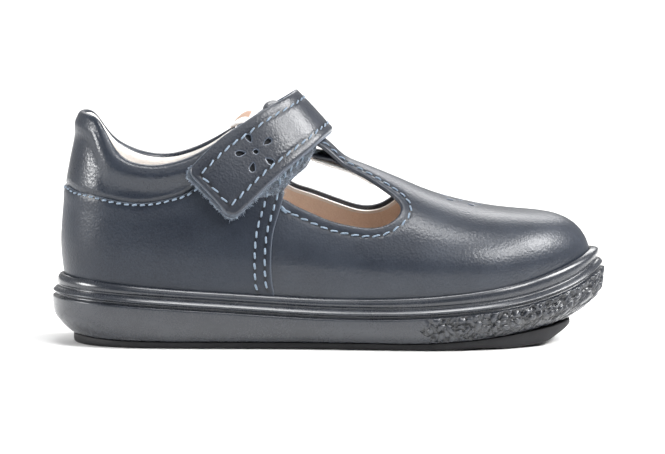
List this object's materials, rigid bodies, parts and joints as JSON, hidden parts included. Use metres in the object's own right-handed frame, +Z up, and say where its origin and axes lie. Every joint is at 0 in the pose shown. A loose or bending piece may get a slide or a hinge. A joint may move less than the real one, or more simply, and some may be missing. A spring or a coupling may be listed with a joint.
{
  "type": "t strap shoe",
  "caption": "Child's T-bar leather shoe for the right foot, with a rubber cup sole, a padded collar, cut-outs beside the T-bar and a hook-and-loop closing strap.",
  "frame": {"origin": "under the middle of the shoe's bounding box, on the floor", "axes": "+X towards the toe, +Y towards the inner side of the foot, +Z up; the shoe stands on z = 0"},
  "size_m": [0.1572, 0.0618, 0.0719],
  "materials": {
    "tread_rubber": "matt black rubber",
    "sole_rubber": "semi-gloss grey-navy rubber, rough relief on the toe",
    "insole_leather": "tan, matt",
    "upper_leather": "dark navy, fine grain, soft shine",
    "strap_leather": "dark navy, fine grain, soft shine",
    "loop_fabric": "blue-grey fuzzy loops",
    "hook_fabric": "blue-grey hook tape"
  },
  "bodies": {
    "root": {"outsole": "tread_rubber", "cup_sole": "sole_rubber", "insole": "insole_leather", "upper": "upper_leather", "strap": "strap_leather", "loop_tape": "loop_fabric", "hook_tape": "hook_fabric"}
  },
  "joints": []
}
